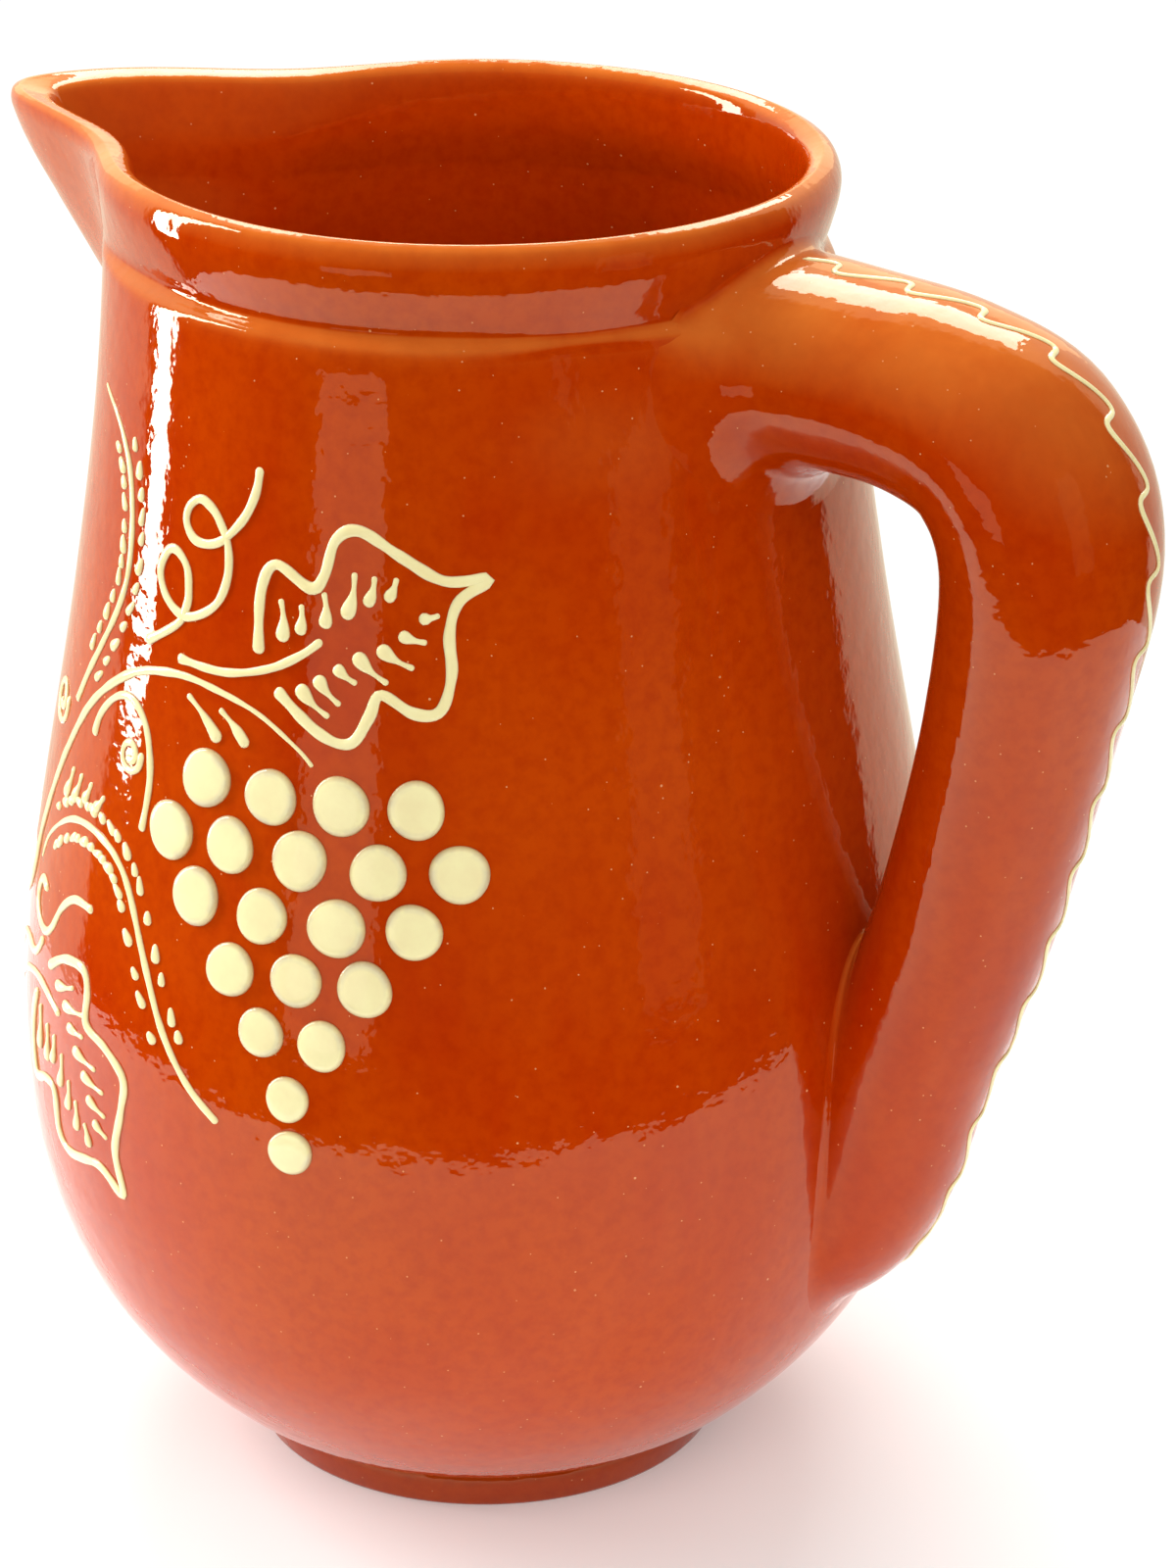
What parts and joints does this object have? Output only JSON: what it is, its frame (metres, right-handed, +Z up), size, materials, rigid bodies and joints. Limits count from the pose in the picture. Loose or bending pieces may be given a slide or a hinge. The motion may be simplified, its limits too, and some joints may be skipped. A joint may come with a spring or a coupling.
{
  "type": "pitcher",
  "caption": "Glazed terracotta pitcher with a pulled spout, a thick strap handle and slip-trailed vine and grape decoration.",
  "frame": {"origin": "centre of the foot's underside, on the table", "axes": "+Z up along the wheel axis, -X out through the spout, +X out through the handle"},
  "size_m": [0.2117, 0.1526, 0.22],
  "materials": {
    "glaze": "glossy clear lead-style glaze over red-orange earthenware",
    "raw_clay": "turned red earthenware, glazed on the side and bare underneath",
    "slip": "raised cream slip under the same clear glaze"
  },
  "bodies": {
    "root": {"body_wall": "glaze", "foot": "raw_clay", "rim_lip": "glaze", "spout": "glaze", "upper_joint_clay": "glaze", "handle": "glaze", "lower_joint_clay": "glaze", "handle_wave_line": "slip", "front_main_stem": "slip", "front_grapes": "slip", "front_leaf_outline": "slip", "front_leaf_veins": "slip", "front_tendril": "slip", "front_upper_sprig": "slip", "front_lower_sprig": "slip", "front_swirl": "slip", "front_small_drops": "slip", "front_low_leaf_outline": "slip", "front_low_leaf_veins": "slip", "front_low_tendril": "slip", "back_main_stem": "slip", "back_grapes": "slip", "back_leaf_outline": "slip", "back_leaf_veins": "slip", "back_tendril": "slip", "back_upper_sprig": "slip", "back_lower_sprig": "slip", "back_swirl": "slip", "back_small_drops": "slip", "back_low_leaf_outline": "slip", "back_low_leaf_veins": "slip", "back_low_tendril": "slip"}
  },
  "joints": []
}
